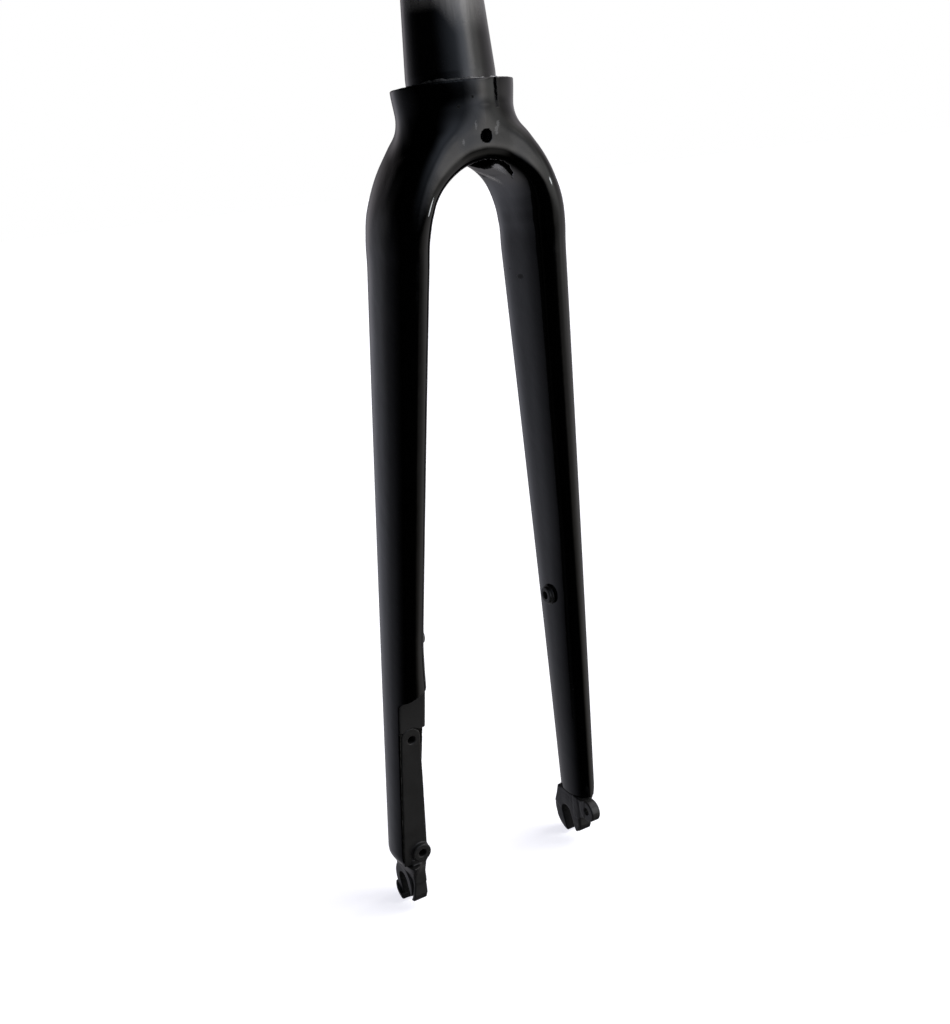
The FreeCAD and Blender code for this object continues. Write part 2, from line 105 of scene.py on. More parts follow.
OUTER = Table(polar([(0, -8), (14, -11.5), (23, -18.0), (28.3, -24.5), (33.9, -32.0), (38.9, -40.5), (43.1, -50.0), (45.15, -60.0), (46.05, -75.0)]), 0, 90)
INNER = Table(polar([(0, ARCH_TOP_Z), (6.8, -34.6), (13.5, -37.7), (19.9, -43.4), (23.2, -49.8), (24.7, -56.0), (25.6, -63.0), (26.88, -75.0)]), 0, 90)
DEPTH = Table([(0, 26.0), (20, 25.7), (40, 24.6), (60, 23.0), (75, 22.1), (90, 21.71)], 0, 90)
CORNER = Table([(0, 2.95), (25, 2.9), (50, 2.6), (70, 2.42), (90, 2.372)], 0, 90)
LIP = Table([(0, 4.3), (18, 4.2), (32, 3.4), (45, 2.7), (60, 2.6), (75, 2.9), (90, 3.18)], 0, 90)
FRONT = Table([(0, 2.95), (25, 3.0), (45, 3.2), (60, 3.3), (75, 3.25), (90, 3.18)], 0, 90)
LEAN = Table([(0, 0.0), (15, 0.1), (35, -0.5), (50, -0.3), (65, 0.4), (78, 1.5), (90, 2.76)], 0, 90)
INNER_N = Table([(-420.0, 2.133), (-310.0, 2.208), (-262.0, 2.42), (-220.0, 2.78), (-160.0, 2.92), (-100.0, 3.12), (-60.0, 3.2), (-50.0, 3.2)], -420, -50)
SWELL = Table([(-420.0, 0.0), (-345.0, 0.4), (-320.0, 1.2), (-300.0, 1.7), (-286.0, 1.7), (-270.0, 0.75), (-256.0, 0.05), (-240.0, 0.0), (-60.0, 0.0)], -420, -60)
TURN_IN = Table([(-389.0, 4.2), (-388.0, 2.5), (-386.5, 1.3), (-384.0, 0.3), (-381.0, 0.0), (-60.0, 0.0)], -389, -60, 8000)


# ---------------------------------------------------------------- fields
def smin(a, b, k):
    h = np.clip(0.5 + 0.5 * (b - a) / k, 0, 1)
    return b + (a - b) * h - k * h * (1 - h)


def smax(a, b, k):
    return -smin(-a, -b, k)


def step(x, a, b):
    t = np.clip((x - a) / (b - a), 0, 1)
    return t * t * (3 - 2 * t)


def oval(u, w, a, b, n):
    # first-order distance to a rounded oval of half sizes a and b
    pu, pw = np.abs(u) / a, np.abs(w) / b
    g = np.maximum((pu ** n + pw ** n) ** (1.0 / n), 1e-4)
    gu, gw = (pu / g) ** (n - 1) / a, (pw / g) ** (n - 1) / b
    return (g - 1) / np.sqrt(gu * gu + gw * gw + 1e-12)


def blade(z):
    t = (z - BLADE_TOP_Z) / (BLADE_LOW_Z - BLADE_TOP_Z)
    bow = 4 * t * (1 - t)
    val = lambda v: v[0] + (v[1] - v[0]) * t + v[2] * bow
    return val(BLADE_X), val(BLADE_Y), val(BLADE_A), val(BLADE_B), BLADE_N[0] + (BLADE_N[1] - BLADE_N[0]) * t


def inner_half(z):
    # half width and roundness of a leg on the wheel's side
    xc, yc, a, b, n = blade(z)
    m = INNER_N(z)
    p, q = n / (n - 1), m / (m - 1)
    reach = ((0.46 * a) ** p + (0.887 * b) ** p) ** (1 / p)
    return np.maximum(reach ** q - (0.46 * a) ** q, 0.1) ** (1 / q) / 0.887, m


def leg_field(x, y, z, side):
    xc, yc, a, b, n = blade(z)
    u, w = x - xc, side * y - yc
    b_in, n_in = inner_half(z)
    b, n = np.where(w < 0, b_in, b), np.where(w < 0, n_in, n)
    turn = TURN_IN(z) * (1.0 if side > 0 else 0.35)
    w = np.where(w > 0, w / (1 - turn / b), w)
    d = oval(u, w, a, b, n)
    if side > 0:
        f = np.degrees(np.arctan2(np.sign(w) * (np.abs(w) / b) ** (n / 2), np.sign(u) * (np.abs(u) / a) ** (n / 2))) % 360
        d = d - SWELL(z) * np.exp(-((f - 232.0) / 33.0) ** 2)
    return d


def crown_field(x, y, z):
    ay, zz = np.abs(y), z - PIVOT_Z
    th = np.degrees(np.arctan2(ay, np.maximum(zz, 1e-6)))
    r = np.hypot(ay, np.maximum(zz, 0))
    r0, r1 = INNER(th), OUTER(th)
    a, xc, n = DEPTH(th), LEAN(th), CORNER(th)
    rc, b = (r0 + r1) / 2, (r1 - r0) / 2
    c = np.cos(np.radians(th))
    rr = r - ARCH_TILT * x * c * (1 - np.clip((r - rc) / b, -1, 1)) / 2
    arch = oval(x - xc, rr - rc, a, b, np.where(rr < rc, np.where(x < xc, LIP(th), FRONT(th)), n))
    xl, yl, al, bl, nl = blade(np.minimum(z, -55.0))
    b_in, n_in = inner_half(np.minimum(z, -55.0))
    leg = oval(x - xl, ay - yl, al, np.where(ay < yl, b_in, bl), np.where(ay < yl, n_in, nl))
    s = step(-z, 52.0, 76.0)
    d = arch * (1 - s) + leg * s
    # collar
    flat = 1.0 - 0.13 * step(-z, 11.0, 23.0)
    rad = np.hypot(x / flat, y)
    wall = rad - (26.2 + 1.0 * step(z, -13.0, 0.0))
    d = smin(d, smax(wall, -27.0 - z, 4.0), 6.5)
    d = smax(d, z + 0.05, 0.5)
    # a crack in the collar, from its top edge down
    middle = -6.75 + 0.028 * z + 0.22 * np.sin(1.9 * z + 0.6) + 0.12 * np.sin(4.3 * z)
    crack = np.abs(y - middle) - np.interp(-z, [0.0, 6.0, 9.0, 11.5], [0.62, 0.55, 0.3, -0.5])
    crack = np.maximum(np.maximum(crack, 25.5 - rad), np.maximum(x + 10.0, -12.0 - z))
    d = smax(d, -crack, 0.12)
    # hole in the crown, socket and the opening under it
    d = smax(d, CROWN_HOLE_R - np.hypot(y, z - CROWN_HOLE_Z), 0.4)
    rad = np.hypot(x, y)
    room = np.maximum(np.maximum(d + 1.3, rad - 18.8), z + 28.0)
    d = np.maximum(d, -np.maximum(rad - 19.6, -29.1 - z))
    d = np.maximum(d, -room)
    # broken out towards the rear lip, with a torn flap on the right
    near = (z < -24.0) & (z > -52.0) & (np.abs(y) < 26.0) & (np.abs(x) < 30.0)
    hole = np.full(np.shape(d), 20.0)
    px, py, pz = x[near], y[near], z[near]
    wave = 0.16 * np.sin(1.7 * px + 0.4 * pz) + 0.12 * np.sin(2.6 * py - 0.5 * pz)
    hole[near] = np.maximum(polygon(px, py, UNDER_HOLE) + wave, pz + 28.0)
    return smax(d, -hole, 0.5)


def strip_x(z):
    return BRAKE_TOP[0] + STRIP_SLOPE * (BRAKE_TOP[1] - z)


def polygon(p, q, pts):
    # signed distance to a closed outline
    pts = np.array(pts, float)
    best = np.full(np.shape(p), 1e9)
    sign = np.ones(np.shape(p))
    for (ax, ay), (bx, by) in zip(pts, np.roll(pts, -1, axis=0)):
        ex, ey = bx - ax, by - ay
        wx, wy = p - ax, q - ay
        t = np.clip((wx * ex + wy * ey) / (ex * ex + ey * ey), 0, 1)
        best = np.minimum(best, (wx - t * ex) ** 2 + (wy - t * ey) ** 2)
        c1, c2, c3 = q >= ay, q < by, ex * wy > ey * wx
        flip = (c1 & c2 & c3) | (~c1 & ~c2 & ~c3)
        sign = np.where(flip, -sign, sign)
    return sign * np.sqrt(best)


def tongue_outline(grow):
    pts = [(47.2 - grow, -392.0), (46.4 - grow, -340.0), (46.2 - grow, -313.0)]
    cy, cz, r = 51.6, -310.1, 5.4 + grow
    for i in range(18):
        f = math.radians(180 - 10 * i)
        pts.append((cy + r * math.cos(f), cz + r * math.sin(f)))
    return pts + [(57.6 + grow, -318.0), (61.0 + grow, -382.0), (61.0 + grow, -392.0)]


def foot_field(x, y, z):
    # the lower part of the left leg, with the brake's seat
    d = leg_field(x, y, z, 1)
    back = (x - strip_x(z)) * 0.9914
    top = -282.6 + (-12.4) * np.clip((y - 38.0) / 28.0, 0, 1.2) ** 1.7
    pad = smax(smax(back + PAD_STEP, z - top, 3.0), -306.2 - z, 0.5)
    d = smax(d, -pad, 0.9)
    low = np.maximum(back, z + 306.2)
    d = smax(d, -low, 0.5)
    bed = smax(back - 5.0, polygon(y, z, tongue_outline(0.12)), 0.4)
    d = smax(d, -bed, 0.5)
    relief = smax(smax(back - 3.0, y - 46.6, 0.6), z + 306.5, 0.6)
    d = smax(d, -relief, 0.5)
    return smax(d, LEG_END_Z - z, 0.5)


# ---------------------------------------------------------------- meshing
def surface(field, xs, ys, zs):
    # one vertex in each cell that the surface crosses, one face over each crossed edge
    values = np.empty((len(xs), len(ys), len(zs)), np.float32)
    for i in range(0, len(xs), 16):
        gx, gy, gz = np.meshgrid(xs[i:i + 16], ys, zs, indexing="ij")
        values[i:i + 16] = field(gx, gy, gz)
    inside = values < 0
    shape = tuple(n - 1 for n in values.shape)
    size = int(np.prod(shape))
    count = np.zeros(size)
    total = np.zeros((3, size))
    axes = (xs, ys, zs)
    faces = []
    for a in range(3):
        s0, s1 = [slice(None)] * 3, [slice(None)] * 3
        s0[a], s1[a] = slice(0, -1), slice(1, None)
        va, vb = values[tuple(s0)], values[tuple(s1)]
        idx = np.argwhere(inside[tuple(s0)] != inside[tuple(s1)])
        at = tuple(idx.T)
        va, vb = va[at].astype(float), vb[at].astype(float)
        p = np.stack([axes[k][idx[:, k]] for k in range(3)])
        p[a] += va / (va - vb) * (axes[a][idx[:, a] + 1] - axes[a][idx[:, a]])
        b, c = [(1, 2), (2, 0), (0, 1)][a]
        cells, good = [], np.ones(len(idx), bool)
        for db, dc in ((0, 0), (-1, 0), (-1, -1), (0, -1)):
            ci = idx.copy()
            ci[:, b] += db
            ci[:, c] += dc
            ok = ((ci >= 0) & (ci < np.array(shape))).all(1)
            line = np.zeros(len(idx), np.int64)
            line[ok] = np.ravel_multi_index(ci[ok].T, shape)
            for k in range(3):
                total[k] += np.bincount(line[ok], p[k][ok], size)
            count += np.bincount(line[ok], minlength=size)
            cells.append(line)
            good &= ok
        quad = np.stack(cells, 1)[good]
        flip = (va >= 0)[good]
        quad[flip] = quad[flip][:, ::-1]
        faces.append(quad)
    faces = np.concatenate(faces)
    used, faces = np.unique(faces, return_inverse=True)
    faces = faces.reshape(-1, 4)
    verts = (total[:, used] / count[used]).T
    return verts, faces


def gradient(field, v, e=0.04):
    g = np.empty_like(v)
    for k in range(3):
        o = np.zeros(3)
        o[k] = e
        p, q = v + o, v - o
        g[:, k] = (field(p[:, 0], p[:, 1], p[:, 2]) - field(q[:, 0], q[:, 1], q[:, 2])) / (2 * e)
    return g


def settle(field, v, most=0.5, rounds=4):
    for _ in range(rounds):
        g = gradient(field, v)
        f = field(v[:, 0], v[:, 1], v[:, 2])
        move = -(f / np.maximum((g * g).sum(1), 0.05))[:, None] * g
        length = np.linalg.norm(move, axis=1, keepdims=True)
        v = v + move * np.minimum(1, most / np.maximum(length, 1e-9))
    return v


def relax(v, faces, field, rounds=3, fixed=None):
    # even out the vertices along the surface
    n = len(v)
    pairs = np.concatenate([faces[:, [0, 1]], faces[:, [1, 2]], faces[:, [2, 3]], faces[:, [3, 0]]])
    pairs = np.concatenate([pairs, pairs[:, ::-1]])
    deg = np.maximum(np.bincount(pairs[:, 0], minlength=n), 1)
    for _ in range(rounds):
        mean = np.stack([np.bincount(pairs[:, 0], v[pairs[:, 1], k], n) / deg for k in range(3)], 1)
        new = v + 0.5 * (mean - v)
        if fixed is not None:
            new[fixed] = v[fixed]
        v = settle(field, new, rounds=2)
        if fixed is not None:
            v[fixed] = new[fixed]
    return v


def rim(faces):
    # edges that one face uses, in that face's direction
    e = np.concatenate([faces[:, [i, (i + 1) % faces.shape[1]]] for i in range(faces.shape[1])])
    key = np.sort(e, 1)
    _, inv, cnt = np.unique(key, axis=0, return_inverse=True, return_counts=True)
    return e[cnt[inv.ravel()] == 1]


def span(a, b, h):
    return np.linspace(a, b, max(2, int(round((b - a) / h)) + 1))


def lines(*stops):
    # grid lines from stop to stop, each stretch with its own spacing
    out = [np.array([stops[0][0]])]
    for (a, h), (b, _) in zip(stops, stops[1:]):
        out.append(span(a, b, h)[1:])
    return np.concatenate(out)


def zip_loops(la, pa, lb, pb, centre):
    # triangles between two rings round the same centre, both given in order of angle
    ang = lambda p: np.arctan2(p[:, 1] - centre[1], p[:, 0] - centre[0])
    oa, ob = np.argsort(ang(pa)), np.argsort(ang(pb))
    aa, ab = ang(pa)[oa], ang(pb)[ob]
    la, lb = np.array(la)[oa], np.array(lb)[ob]
    i = j = 0
    tris = []
    na, nb = len(la), len(lb)
    while i < na or j < nb:
        nxa = aa[i % na] + (2 * math.pi if i >= na else 0) if i < na else 1e9
        nxb = ab[j % nb] + (2 * math.pi if j >= nb else 0) if j < nb else 1e9
        a, b = la[i % na], lb[j % nb]
        if nxa <= nxb:
            tris.append((la[(i - 1) % na], a, lb[(j - 1) % nb] if True else b))
            i += 1
        else:
            tris.append((lb[(j - 1) % nb], la[(i - 1) % na], b))
            j += 1
    return tris


def to_mesh(name, verts, faces, normals=None):
    me = bpy.data.meshes.new(name)
    me.from_pydata((np.asarray(verts) * 0.001).tolist(), [], [tuple(int(i) for i in f) for f in faces])
    me.validate()
    me.polygons.foreach_set("use_smooth", [True] * len(me.polygons))
    me.update()
    if normals is not None and len(me.vertices) == len(normals):
        me.normals_split_custom_set_from_vertices([tuple(n) for n in normals])
    ob = bpy.data.objects.new(name, me)
    bpy.context.scene.collection.objects.link(ob)
    return ob


def orient(verts, faces, normals):
    # turn each face the way its corners' normals point
    out = []
    for f in faces:
        p = verts[list(f)]
        n = np.cross(p[1] - p[0], p[2] - p[0])
        m = normals[list(f)].sum(0)
        out.append(tuple(f) if n @ m >= 0 else tuple(f)[::-1])
    return out


# ---------------------------------------------------------------- crown and blades
RING = 88


def leg_ring(z, side):
    xc, yc, a, b, n = blade(z)
    f = np.linspace(0, 2 * math.pi, RING, endpoint=False)
    power = lambda c: np.sign(c) * np.abs(c) ** (2.0 / n)
    x, w = a * power(np.cos(f)), b * power(np.sin(f))
    v = np.stack([xc + x, side * (yc + w), np.full(RING, z)], 1)
    fld = lambda p, q, r: leg_field(p, q, r, side)
    for _ in range(4):
        g = gradient(fld, v)
        d = fld(v[:, 0], v[:, 1], v[:, 2])
        g[:, 2] = 0
        v = v - (d / np.maximum((g * g).sum(1), 0.05))[:, None] * g
    return v


def crown_and_blades():
    top_z, foot_z = -84.0, -275.0
    xs = lines((-30.0, 0.9), (-24.0, 0.6), (-7.2, 0.9), (30.0, 0.9))
    ys = lines((-52.2, 0.97), (-19.9, 0.6), (-8.5, 0.24), (-5.1, 0.5), (4.4, 0.97), (52.2, 0.97))
    zs = lines((top_z, 1.05), (-47.0, 0.66), (-28.0, 0.55), (-19.0, 0.97), (1.3, 0.97))
    cv, cf = surface(crown_field, xs, ys, zs)
    cv = settle(crown_field, cv)
    edge = np.unique(rim(cf))
    cv = relax(cv, cf, crown_field, 3, edge)
    edge_top = edge[cv[edge, 2] < top_z + 3]
    cv[edge_top, 2] = top_z + 0.2
    for _ in range(3):
        g = gradient(crown_field, cv[edge_top])
        d = crown_field(*cv[edge_top].T)
        g[:, 2] = 0
        cv[edge_top] -= (d / np.maximum((g * g).sum(1), 0.05))[:, None] * g
    cn = gradient(crown_field, cv)

    xs, ys, zs = span(8.0, 61.0, 0.69), span(35.0, 66.0, 0.69), span(-389.9, foot_z, 0.69)
    fv, ff = surface(foot_field, xs, ys, zs)
    fv = settle(foot_field, fv)
    edge = np.unique(rim(ff))
    fv = relax(fv, ff, foot_field, 2, edge)
    fv[edge, 2] = foot_z - 0.2
    for _ in range(3):
        g = gradient(foot_field, fv[edge])
        d = foot_field(*fv[edge].T)
        g[:, 2] = 0
        fv[edge] -= (d / np.maximum((g * g).sum(1), 0.05))[:, None] * g
    fn = gradient(foot_field, fv)

    verts, normals, faces = [cv, fv], [cn, fn], [tuple(f) for f in cf] + [tuple(f) for f in ff + len(cv)]
    base = len(cv) + len(fv)
    extra = []
    for side in (1, -1):
        fld = (lambda s: (lambda p, q, r: leg_field(p, q, r, s)))(side)
        low = foot_z + 1.5 if side > 0 else LEG_END_Z
        levels = list(np.arange(top_z - 1.5, low + 3.0, -2.8)) + [low]
        if side < 0:
            levels = [z for z in levels if z > -380] + [-380.5, -383.0, -385.0, -386.5, -387.5, -388.3, -388.8, -389.0]
        rings = [leg_ring(z, side) for z in levels]
        if side < 0:
            # a small radius at the end
            for k, inset in ((-2, 0.12), (-1, 0.45)):
                mid = rings[k].mean(0)
                out = rings[k] - mid
                rings[k] = mid + out * (1 - inset / np.maximum(np.linalg.norm(out, axis=1, keepdims=True), 1))
        v = np.concatenate(rings)
        n = gradient(fld, v)
        if side < 0:
            n[-RING:, 2] -= 0.7
            n[-2 * RING:-RING, 2] -= 0.35
        ids = base + np.arange(len(v)).reshape(len(rings), RING)
        for i in range(len(rings) - 1):
            for j in range(RING):
                k = (j + 1) % RING
                faces.append((ids[i, j], ids[i, k], ids[i + 1, k], ids[i + 1, j]))
        verts.append(v)
        normals.append(n)
        base += len(v)
        loop = edge_top[np.sign(cv[edge_top, 1]) == side]
        centre = rings[0].mean(0)
        extra += [(t, side) for t in zip_loops(list(loop), cv[loop], list(ids[0]), rings[0], centre)]
        if side > 0:
            centre = rings[-1].mean(0)
            extra += [(t, side) for t in zip_loops(list(ids[-1]), rings[-1], list(edge + len(cv)), fv[edge], centre)]
        else:
            verts.append(rings[-1].mean(0)[None])
            normals.append(np.array([[0.0, 0, -1]]))
            for j in range(RING):
                extra.append(((ids[-1, j], ids[-1, (j + 1) % RING], base), side))
            base += 1
    faces += [t for t, _ in extra]
    verts, normals = np.concatenate(verts), np.concatenate(normals)
    normals /= np.maximum(np.linalg.norm(normals, axis=1, keepdims=True), 1e-9)
    return to_mesh("crown_and_blades_shell", verts, orient(verts, faces, normals), normals)


# ---------------------------------------------------------------- dropouts
def at_axle(points):
    return [(RAKE + x, AXLE_Z + z) for x, z in points]


def ps(p, s):
    return (p * SLOT_C - s * SLOT_S, -p * SLOT_S - s * SLOT_C)


def disc(x, y, z, r, y0, y1, k=0.7):
    return smax(np.hypot(x - RAKE, z - AXLE_Z) - r, np.maximum(y0 - y, y - y1), k)


def slab(x, y, z, pts, y0, y1, k=0.7, rnd=0.0):
    return smax(polygon(x, z, pts) - rnd, np.maximum(y0 - y, y - y1), k)


def rod(x, y, z, p, d, r, t0, t1, k=0.5):
    px, py, pz = x - p[0], y - p[1], z - p[2]
    t = px * d[0] + py * d[1] + pz * d[2]
    rr = np.sqrt(np.maximum(px * px + py * py + pz * pz - t * t, 0))
    return smax(rr - r, np.maximum(t0 - t, t - t1), k)


def shoulder(x, y, z, turn):
    xc, yc, a, b, n = blade(LEG_END_Z)
    depth = np.clip(LEG_END_Z - z, 0.0, 8.5)
    fa = np.interp(depth, [0, 2.5, 5.0, 7.5, 8.5], [0.985, 0.96, 0.90, 0.78, 0.72])
    lo = np.interp(depth, [0, 2.5, 5.0, 8.5], [b - 0.15, 6.7, 6.6, 6.4])
    hi = np.interp(depth, [0, 2.5, 5.0, 7.5, 8.5], [b - turn - 0.15, b - turn - 0.7, 1.6, 0.4, 0.2])
    w = y - yc
    d = oval(x - xc - 0.3 * depth, w, fa * a, np.where(w > 0, np.maximum(hi, 0.2), lo), n)
    return smax(np.maximum(d, -12.0), np.maximum(z - (LEG_END_Z - 0.1), LEG_END_Z - 8.5 - z), 0.6)


def dropout_core(x, y, z, turn):
    top = LEG_END_Z - 0.1 - AXLE_Z
    d = disc(x, y, z, 12.5, INNER_Y, 55.6, 1.0)
    d = smin(d, slab(x, y, z, at_axle([(-12.6, top), (8.2, top), (12.1, 3.0), (-12.1, -3.0)]), INNER_Y, 55.6, 1.0), 0.8)
    jaw = slab(x, y, z, at_axle([(-13.2, 12.5), (-13.6, 9.5), (-13.5, -3.4), (-11.3, -7.4), ps(-4.0, 10.2), ps(-4.0, 0), (-6.0, 12.5)]), INNER_Y, 58.4, 1.0)
    jaw = smax(jaw, -disc(x, y, z, 11.3, 55.6, 70, 0.4), 0.6)
    lean = (y - 55.2) - (58.4 - 55.2) * (AXLE_Z + 13.0 - z) / 18.0
    jaw = smax(jaw, lean * 0.98, 1.0)
    d = smin(d, jaw, 0.9)
    d = smin(d, disc(x, y, z, 10.0, INNER_Y, 57.9, 0.8), 0.7)
    lip = smax(disc(x, y, z, 12.5, INNER_Y, 59.6, 1.0), -disc(x, y, z, 10.0, 53.6, 70, 0.3), 0.5)
    lip = smax(lip, polygon(x, z, at_axle([ps(1, 3.0), ps(20, 1.0), ps(20, 20), ps(1, 20)])), 0.8)
    lip = smax(lip, ((y - 59.6) + (59.6 - 55.6) * (z - (AXLE_Z - 9.0)) / 10.0) * 0.92, 0.8)
    d = smin(d, lip, 0.7)
    d = smin(d, shoulder(x, y, z, turn), 1.4)
    return d


def cut_slot(d, x, y, z):
    p = (x - RAKE) * SLOT_C - (z - AXLE_Z) * SLOT_S
    s = -(x - RAKE) * SLOT_S - (z - AXLE_Z) * SLOT_C
    slot = np.where(s > 0, np.abs(p), np.hypot(p, s)) - SLOT_R
    return smax(d, -slot, 0.9)


def left_dropout_field(x, y, z):
    d = dropout_core(x, y, z, 4.2)
    back = (x - strip_x(z)) * 0.9914
    tongue = smax(polygon(y, z, tongue_outline(0.0)), np.maximum(-back, back - 5.0), 0.7)
    tongue = smax(tongue, LEG_END_Z + 0.8 - z, 0.6)
    d = smin(d, tongue, 0.6)
    zt = LEG_END_Z + 3.0
    web = slab(x, y, z, [(strip_x(zt), zt), (strip_x(AXLE_Z + 16.5), AXLE_Z + 16.5), (RAKE - 13.6, AXLE_Z + 11.2), (RAKE - 13.5, AXLE_Z + 4.0), (RAKE - 4.0, AXLE_Z + 4.0),
                         (RAKE - 4.0, LEG_END_Z - 0.1), (strip_x(zt) + 5.0, LEG_END_Z - 0.1), (strip_x(zt) + 5.0, zt)], 48.0, 56.4, 0.9)
    web = smax(web, (48.0 - y) + 2.0 * np.clip((AXLE_Z + 15.0 - z) / 5.0, 0, 1), 0.8)
    d = smin(d, web, 1.2)
    d = smin(d, rod(x, y, z, HOLE_2, INTO, 5.2, 0.0, 13.0, 0.6), 0.8)
    for h in (HOLE_1, HOLE_2):
        d = smax(d, -rod(x, y, z, h, INTO, 2.1, -8.0, 11.0, 0.2), 0.5)
    return cut_slot(d, x, y, z)


def right_dropout_field(x, y, z):
    y = -y
    d = dropout_core(x, y, z, 4.2 * 0.35)
    ex, ez = RAKE - 21.6, AXLE_Z + 10.3
    top = LEG_END_Z - 0.1
    arm = slab(x, y, z, [(ex + 1.2, ez + 6.05), (ex + 3.3, top), (RAKE - 9, top), (RAKE - 9, AXLE_Z + 2.0), (RAKE - 13.4, AXLE_Z + 2.2), (ex + 2.6, ez - 5.6)], INNER_Y, INNER_Y + 5.6, 1.0)
    ear = rod(x, y, z, (ex, INNER_Y, ez), (0, 1, 0), 6.2, 0.0, 5.6, 0.9)
    d = smin(d, smin(arm, ear, 0.8), 1.2)
    d = smax(d, -rod(x, y, z, (ex, INNER_Y, ez), (0, 1, 0), 2.1, -20, 20, 0.1), 0.6)
    return cut_slot(d, x, y, z)


def field_piece(name, field, lo, hi, h, rounds=2):
    xs, ys, zs = (span(a, b, h) for a, b in zip(lo, hi))
    v, f = surface(field, xs, ys, zs)
    v = settle(field, v, most=h * 0.6)
    v = relax(v, f, field, rounds)
    n = gradient(field, v)
    n /= np.maximum(np.linalg.norm(n, axis=1, keepdims=True), 1e-9)
    return to_mesh(name, v, [tuple(q) for q in f], n)


# ---------------------------------------------------------------- round pieces
def lathe(name, profile, turns, origin=(0, 0, 0), axis="Z", closed=True):
    # profile of (radius, height), turned about the axis
    pr = np.array(profile, float)
    m = len(pr)
    f = np.linspace(0, 2 * math.pi, turns, endpoint=False)
    v = np.empty((turns, m, 3))
    v[:, :, 0] = np.cos(f)[:, None] * pr[None, :, 0]
    v[:, :, 1] = np.sin(f)[:, None] * pr[None, :, 0]
    v[:, :, 2] = pr[None, :, 1]
    v = v.reshape(-1, 3)
    if axis == "+Y":
        v = v[:, [1, 2, 0]]
    elif axis == "-Y":
        v = np.stack([v[:, 0], -v[:, 2], v[:, 1]], 1)
    v = v + np.array(origin)
    faces = []
    for i in range(turns):
        k = (i + 1) % turns
        for j in range(m if closed else m - 1):
            n = (j + 1) % m
            faces.append((i * m + j, k * m + j, k * m + n, i * m + n))
    ob = to_mesh(name, v, faces)
    ob.data.set_sharp_from_angle(angle=math.radians(32.0))
    return ob


def rounded(points, radii, steps=5):
    # closed outline with its corners rounded
    pts = np.array(points, float)
    out = []
    n = len(pts)
    for i in range(n):
        p, a, b = pts[i], pts[i - 1], pts[(i + 1) % n]
        r = radii[i]
        if r <= 0:
            out.append(tuple(p))
            continue
        ua, ub = (a - p) / np.linalg.norm(a - p), (b - p) / np.linalg.norm(b - p)
        half = math.acos(float(np.clip(ua @ ub, -1, 1))) / 2
        t = min(r / math.tan(half), 0.45 * np.linalg.norm(a - p), 0.45 * np.linalg.norm(b - p))
        r = t * math.tan(half)
        mid = (ua + ub) / np.linalg.norm(ua + ub)
        c = p + mid * r / math.sin(half)
        p0, p1 = p + ua * t - c, p + ub * t - c
        a0, a1 = math.atan2(p0[1], p0[0]), math.atan2(p1[1], p1[0])
        da = (a1 - a0 + math.pi) % (2 * math.pi) - math.pi
        for s in range(steps + 1):
            q = a0 + da * s / steps
            out.append((c[0] + r * math.cos(q), c[1] + r * math.sin(q)))
    return out


def steerer():
    prof = [(16.4, -28.8), (19.0, -28.8), (19.5, -28.3), (19.5, 0.0), (19.9, 0.0), (19.9, 4.0), (14.3, 91.0), (14.3, 299.5), (13.8, 300.0), (11.9, 300.0), (11.9, 95.0), (16.4, 6.0)]
    radii = [0, 0, 0, 0, 0, 6.0, 12.0, 0.3, 0.3, 0.3, 0, 0]
    return lathe("steerer_tube_turned", rounded(prof, radii, 8), 160)


def bond_bead():
    # a thin uneven bead of glue round the foot of the steerer, on the collar's top face
    turns, m = 240, 14
    f = np.linspace(0, 2 * math.pi, turns, endpoint=False)
    high = 1.05 + 0.35 * np.sin(3 * f + 0.7) + 0.22 * np.sin(8 * f + 2.1) + 0.16 * np.sin(19 * f) + 0.10 * np.sin(41 * f + 1.0)
    wide = 0.95 + 0.18 * np.sin(5 * f + 1.4) + 0.10 * np.sin(13 * f + 0.3)
    high = np.maximum(high, 0.55)
    q = np.linspace(0, 0.5 * math.pi, m - 2)
    pr = [np.full(turns, 19.93)] + [19.93 + wide * np.sin(a) for a in q] + [19.93 + wide]
    ph = [np.full(turns, 0.0)] + [high * np.cos(a) for a in q] + [np.full(turns, 0.0)]
    ph[-2] = np.full(turns, 0.12)
    v = np.empty((turns, m, 3))
    for j in range(m):
        v[:, j, 0], v[:, j, 1], v[:, j, 2] = np.cos(f) * pr[j], np.sin(f) * pr[j], ph[j]
    faces = []
    for i in range(turns):
        k = (i + 1) % turns
        for j in range(m):
            n = (j + 1) % m
            faces.append((i * m + n, k * m + n, k * m + j, i * m + j))
    ob = to_mesh("bond_bead", v.reshape(-1, 3), faces)
    ob.data.set_sharp_from_angle(angle=math.radians(40.0))
    return ob


def boss_inner_y():
    xc, yc, a, b, n = blade(BOSS_Z)
    b, n = (float(v) for v in inner_half(BOSS_Z))
    u = abs(BOSS_X - xc) / a
    return yc - b * (1 - u ** n) ** (1 / n)


